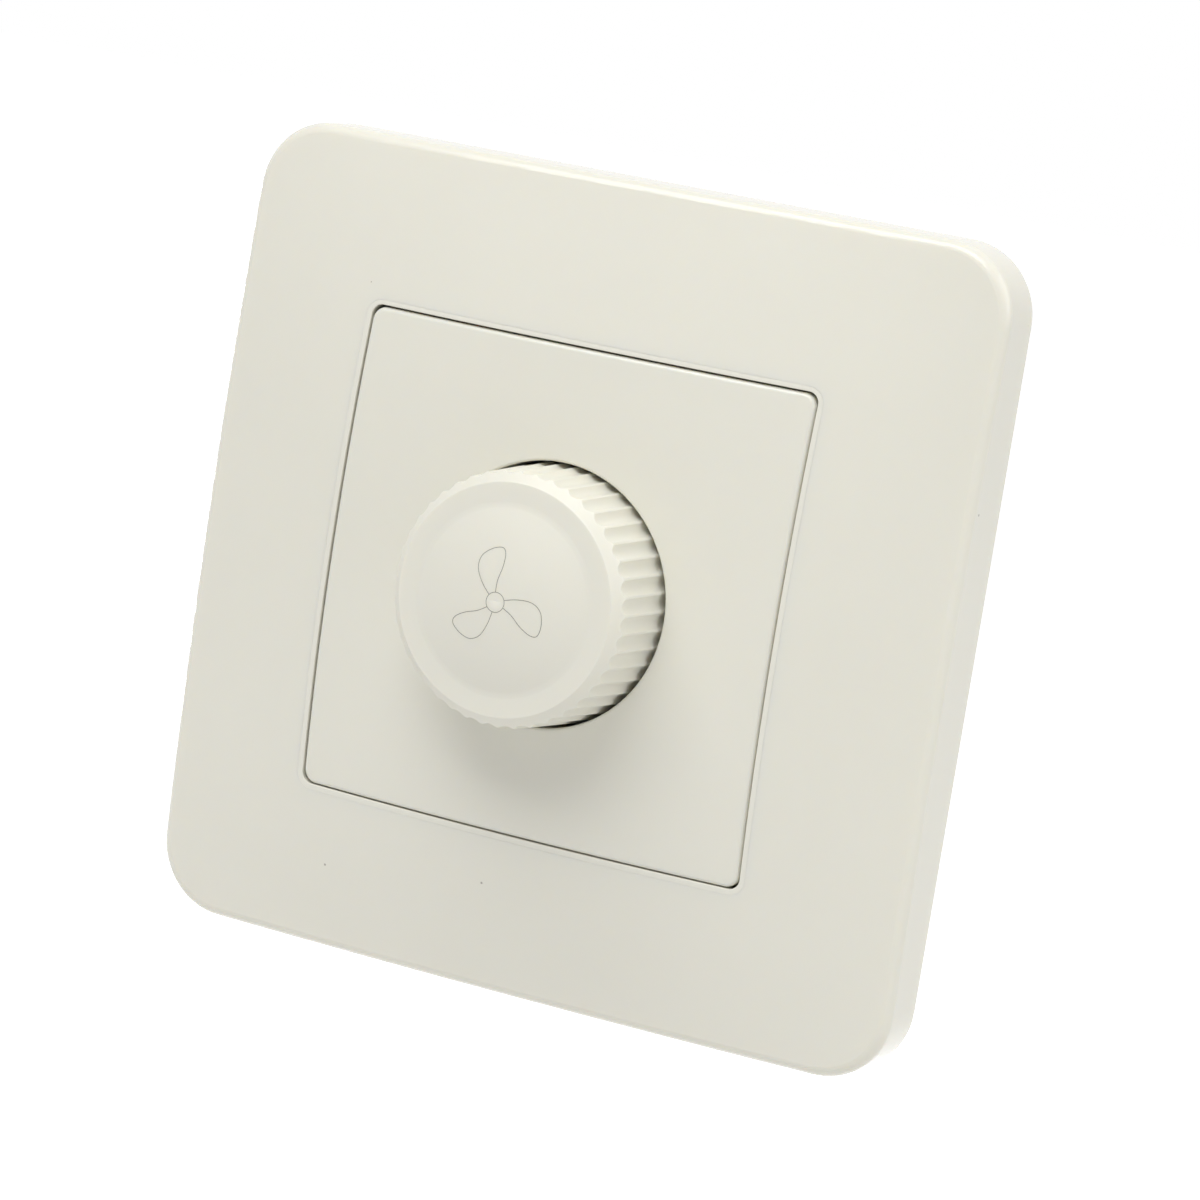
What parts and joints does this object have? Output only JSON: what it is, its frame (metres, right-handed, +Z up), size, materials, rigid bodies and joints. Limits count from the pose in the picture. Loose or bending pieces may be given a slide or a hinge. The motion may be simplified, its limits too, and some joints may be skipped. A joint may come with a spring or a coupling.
{
  "type": "fan speed control switch",
  "caption": "Square domed ivory wall plate with a fluted rotary knob standing in a round hole; the knob turns a potentiometer that sets the speed of a fan.",
  "frame": {"origin": "on the wall plane, midway between the two wall screws and on the knob's axis", "axes": "+X to the right and +Z up as seen from the room; -Y points out of the wall, +Y into it"},
  "size_m": [0.086, 0.0488, 0.086],
  "materials": {
    "ivory_frame": "semi-gloss moulded urea plastic",
    "ivory_panel": "semi-gloss moulded urea plastic",
    "ivory_knob": "semi-gloss moulded plastic",
    "base_plastic": "matt moulded plastic",
    "housing_plastic": "matt moulded plastic",
    "zinc_steel": "zinc plated",
    "die_cast": "die cast",
    "spring_steel": "bright",
    "aluminium": "mill finish",
    "brass": "plain",
    "tinned_brass": "tinned",
    "board": "paper laminate",
    "black_moulding": "matt epoxy",
    "phenolic": "phenolic laminate",
    "ferrite": "sintered ferrite",
    "copper": "enamelled copper wire",
    "film_box": "moulded box",
    "timing_dip": "dipped",
    "fuse_glass": "clear",
    "resistor_coat": "lacquered",
    "diac_glass": "lacquered glass",
    "block_plastic": "matt moulded plastic"
  },
  "bodies": {
    "switch_body": {"face_frame": "ivory_frame", "centre_panel": "ivory_panel", "mounting_base": "base_plastic", "rear_housing": "housing_plastic", "housing_screws": "zinc_steel", "pot_bushing": "die_cast", "lock_washer": "zinc_steel", "pot_nut": "zinc_steel", "pot_can": "zinc_steel", "resistance_track": "phenolic", "pot_terminals": "tinned_brass", "switch_case": "black_moulding", "switch_pins": "tinned_brass", "circuit_board": "board", "heat_sink": "aluminium", "triac": "black_moulding", "triac_screw": "zinc_steel", "choke_core": "ferrite", "choke_winding": "copper", "film_capacitor": "film_box", "timing_capacitor": "timing_dip", "fuse_tube": "fuse_glass", "fuse_caps": "tinned_brass", "fuse_clips": "tinned_brass", "resistors": "resistor_coat", "diac": "diac_glass", "terminal_block": "block_plastic", "terminal_clamps": "brass", "terminal_screws": "zinc_steel"},
    "knob_rotor": {"knob": "ivory_knob", "knob_spring": "spring_steel", "pot_shaft": "aluminium", "wiper_rotor": "black_moulding"}
  },
  "joints": [
    {"name": "knob_turn", "type": "hinge", "parent": "switch_body", "child": "knob_rotor", "pos_m": [0, 0, 0], "axis": [0, 1, 0], "range_deg": [0, 300]}
  ]
}
